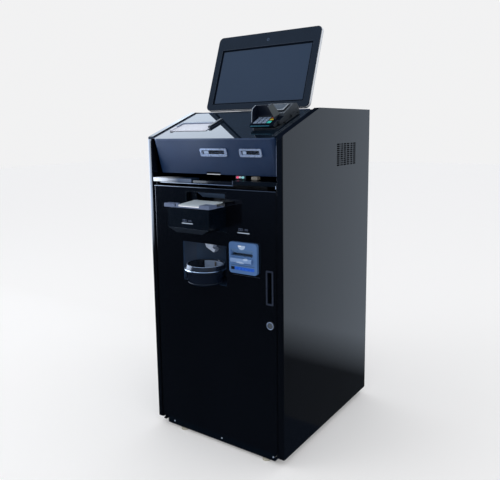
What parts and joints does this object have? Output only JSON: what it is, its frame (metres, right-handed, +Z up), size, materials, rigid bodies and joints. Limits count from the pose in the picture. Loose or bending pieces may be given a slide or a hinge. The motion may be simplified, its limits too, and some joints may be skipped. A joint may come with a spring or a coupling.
{
  "type": "self-service cash kiosk",
  "caption": "Free-standing cash and card kiosk with a front door, note hopper, coin cup, lifting hood with payment terminal, and a tilting monitor on top.",
  "frame": {"origin": "centre of the object's box on the floor that the feet stand on", "axes": "+Z up, -Y out of the front door, +X to the right seen from the front"},
  "size_m": [0.5, 0.68, 1.3119],
  "materials": {
    "cabinet_gloss": "semi-gloss powder coat",
    "black_satin": "satin",
    "zinc_steel": "satin",
    "foot_felt": "matte",
    "rail_silver": "satin",
    "inner_plastic": "matte",
    "tray_cream": "matte",
    "bright_metal": "polished",
    "cup_dark": "gloss",
    "note_bezel_blue": "gloss",
    "handle_grey": "satin",
    "lock_nickel": "polished",
    "hood_navy": "satin",
    "deck_mirror": "gloss",
    "terminal_plastic": "matte",
    "display_glass": "gloss",
    "key_light": "matte",
    "key_green": "matte",
    "key_yellow": "matte",
    "key_red": "matte",
    "monitor_black": "gloss",
    "monitor_glass": "gloss",
    "monitor_silver": "satin"
  },
  "bodies": {
    "cabinet": {"base_plate": "zinc_steel", "plinth": "black_satin", "foot_front_left": "foot_felt", "foot_front_right": "foot_felt", "foot_rear_left": "foot_felt", "foot_rear_right": "foot_felt", "left_side_panel": "cabinet_gloss", "right_side_panel": "cabinet_gloss", "rear_panel": "black_satin", "top_plate": "black_satin", "front_rail": "rail_silver", "equipment_rack": "zinc_steel", "banknote_recycler": "inner_plastic", "coin_changer": "zinc_steel", "controller_box": "zinc_steel", "inlet_panel": "black_satin", "fan_frame": "inner_plastic", "door_hinge_rod": "zinc_steel", "monitor_bracket": "black_satin"},
    "door": {"door_panel": "cabinet_gloss", "note_hopper": "black_satin", "hopper_tray": "tray_cream", "tray_rail": "bright_metal", "coin_recess": "black_satin", "coin_nozzle": "bright_metal", "coin_cup": "cup_dark", "note_bezel": "note_bezel_blue", "note_validator": "inner_plastic", "door_handle": "handle_grey"},
    "door_lock": {"door_lock": "lock_nickel"},
    "hood": {"hood_shell": "hood_navy", "receipt_slot_bezel": "bright_metal", "card_slot_bezel": "bright_metal", "receipt_printer": "inner_plastic", "card_reader": "inner_plastic", "deck_panel": "deck_mirror", "reader_frame": "bright_metal", "terminal_cradle": "terminal_plastic", "terminal_body": "terminal_plastic", "terminal_display": "display_glass", "terminal_shield": "terminal_plastic"},
    "monitor": {"monitor_bezel": "monitor_black", "monitor_screen": "monitor_glass", "monitor_rear_cover": "monitor_silver"},
    "fan": {"fan_rotor": "inner_plastic"},
    "key_star": {"key_star": "key_light"},
    "key_0": {"key_0": "key_light"},
    "key_hash": {"key_hash": "key_light"},
    "key_1": {"key_1": "key_light"},
    "key_2": {"key_2": "key_light"},
    "key_3": {"key_3": "key_light"},
    "key_4": {"key_4": "key_light"},
    "key_5": {"key_5": "key_light"},
    "key_6": {"key_6": "key_light"},
    "key_7": {"key_7": "key_light"},
    "key_8": {"key_8": "key_light"},
    "key_9": {"key_9": "key_light"},
    "key_enter": {"key_enter": "key_green"},
    "key_clear": {"key_clear": "key_yellow"},
    "key_cancel": {"key_cancel": "key_red"}
  },
  "joints": [
    {"name": "door_hinge", "type": "hinge", "parent": "cabinet", "child": "door", "pos_m": [-0.2215, -0.251, 0.424], "axis": [0, 0, -1], "range_deg": [0, 95]},
    {"name": "lock_turn", "type": "hinge", "parent": "door", "child": "door_lock", "pos_m": [0.2085, -0.25, 0.4345], "axis": [0, -1, 0], "range_deg": [0, 90]},
    {"name": "hood_lift", "type": "hinge", "parent": "cabinet", "child": "hood", "pos_m": [0, -0.0357, 1.0512], "axis": [-1, 0, 0], "range_deg": [0, 45]},
    {"name": "monitor_tilt", "type": "hinge", "parent": "cabinet", "child": "monitor", "pos_m": [-0.0012, 0.05207, 1.08448], "axis": [-1, 0, 0], "range_deg": [-5, 20]},
    {"name": "fan_spin", "type": "hinge", "parent": "cabinet", "child": "fan", "pos_m": [0.236, 0.152, 0.909], "axis": [1, 0, 0], "continuous": true},
    {"name": "key_star_press", "type": "slide", "parent": "hood", "child": "key_star", "axis": [0, 0.4479, -0.8941], "range_m": [0, 0.0015], "stiffness_N_per_m": 400},
    {"name": "key_0_press", "type": "slide", "parent": "hood", "child": "key_0", "axis": [0, 0.4479, -0.8941], "range_m": [0, 0.0015], "stiffness_N_per_m": 400},
    {"name": "key_hash_press", "type": "slide", "parent": "hood", "child": "key_hash", "axis": [0, 0.4479, -0.8941], "range_m": [0, 0.0015], "stiffness_N_per_m": 400},
    {"name": "key_1_press", "type": "slide", "parent": "hood", "child": "key_1", "axis": [0, 0.4479, -0.8941], "range_m": [0, 0.0015], "stiffness_N_per_m": 400},
    {"name": "key_2_press", "type": "slide", "parent": "hood", "child": "key_2", "axis": [0, 0.4479, -0.8941], "range_m": [0, 0.0015], "stiffness_N_per_m": 400},
    {"name": "key_3_press", "type": "slide", "parent": "hood", "child": "key_3", "axis": [0, 0.4479, -0.8941], "range_m": [0, 0.0015], "stiffness_N_per_m": 400},
    {"name": "key_4_press", "type": "slide", "parent": "hood", "child": "key_4", "axis": [0, 0.4479, -0.8941], "range_m": [0, 0.0015], "stiffness_N_per_m": 400},
    {"name": "key_5_press", "type": "slide", "parent": "hood", "child": "key_5", "axis": [0, 0.4479, -0.8941], "range_m": [0, 0.0015], "stiffness_N_per_m": 400},
    {"name": "key_6_press", "type": "slide", "parent": "hood", "child": "key_6", "axis": [0, 0.4479, -0.8941], "range_m": [0, 0.0015], "stiffness_N_per_m": 400},
    {"name": "key_7_press", "type": "slide", "parent": "hood", "child": "key_7", "axis": [0, 0.4479, -0.8941], "range_m": [0, 0.0015], "stiffness_N_per_m": 400},
    {"name": "key_8_press", "type": "slide", "parent": "hood", "child": "key_8", "axis": [0, 0.4479, -0.8941], "range_m": [0, 0.0015], "stiffness_N_per_m": 400},
    {"name": "key_9_press", "type": "slide", "parent": "hood", "child": "key_9", "axis": [0, 0.4479, -0.8941], "range_m": [0, 0.0015], "stiffness_N_per_m": 400},
    {"name": "key_enter_press", "type": "slide", "parent": "hood", "child": "key_enter", "axis": [0, 0.4479, -0.8941], "range_m": [0, 0.0015], "stiffness_N_per_m": 400},
    {"name": "key_clear_press", "type": "slide", "parent": "hood", "child": "key_clear", "axis": [0, 0.4479, -0.8941], "range_m": [0, 0.0015], "stiffness_N_per_m": 400},
    {"name": "key_cancel_press", "type": "slide", "parent": "hood", "child": "key_cancel", "axis": [0, 0.4479, -0.8941], "range_m": [0, 0.0015], "stiffness_N_per_m": 400}
  ]
}
